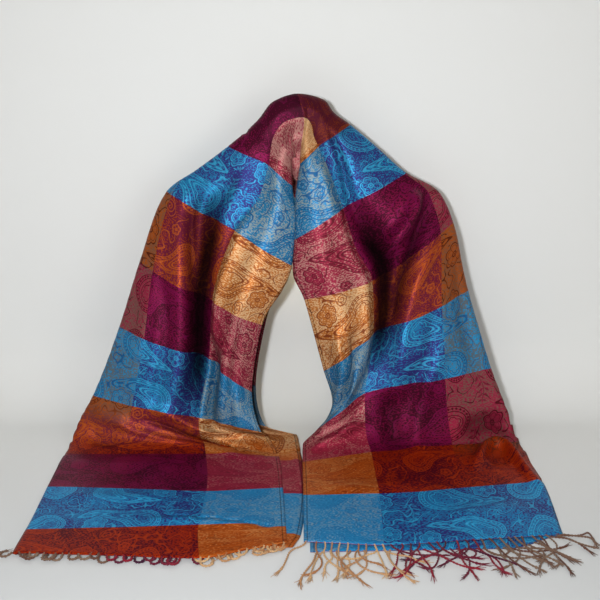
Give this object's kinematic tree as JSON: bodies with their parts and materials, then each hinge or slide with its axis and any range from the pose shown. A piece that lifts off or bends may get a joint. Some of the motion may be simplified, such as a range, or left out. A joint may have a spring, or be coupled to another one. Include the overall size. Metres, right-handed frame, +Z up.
{
  "type": "pashmina shawl on a clothes hanger",
  "caption": "Banded and striped jacquard shawl with twisted fringe, folded lengthwise over a hidden clothes hanger, both tails lying forward on a surface",
  "frame": {"origin": "the point inside the top of the hanger's hook that bears on a rail or peg", "axes": "+Z up, +X to the viewer's right across the front, +Y away from the viewer, with the tails lying towards -Y"},
  "size_m": [0.7152, 0.5305, 0.5356],
  "materials": {
    "jacquard_cloth": "woven silk and viscose jacquard with a satin sheen",
    "twisted_fringe": "twisted warp ends with knotted tufts",
    "hanger_moulding": "satin moulded plastic"
  },
  "bodies": {
    "root": {"collar_front": "jacquard_cloth", "collar_back": "jacquard_cloth", "left_shoulder_front": "jacquard_cloth", "left_shoulder_back": "jacquard_cloth", "left_fall_front": "jacquard_cloth", "left_fall_back": "jacquard_cloth", "right_shoulder_front": "jacquard_cloth", "right_shoulder_back": "jacquard_cloth", "right_fall_front": "jacquard_cloth", "right_fall_back": "jacquard_cloth", "left_tail_front": "jacquard_cloth", "left_tail_back": "jacquard_cloth", "right_tail_front": "jacquard_cloth", "right_tail_back": "jacquard_cloth", "left_fringe": "twisted_fringe", "right_fringe": "twisted_fringe", "hanger_hook": "hanger_moulding", "hanger_arms": "hanger_moulding"}
  },
  "joints": []
}
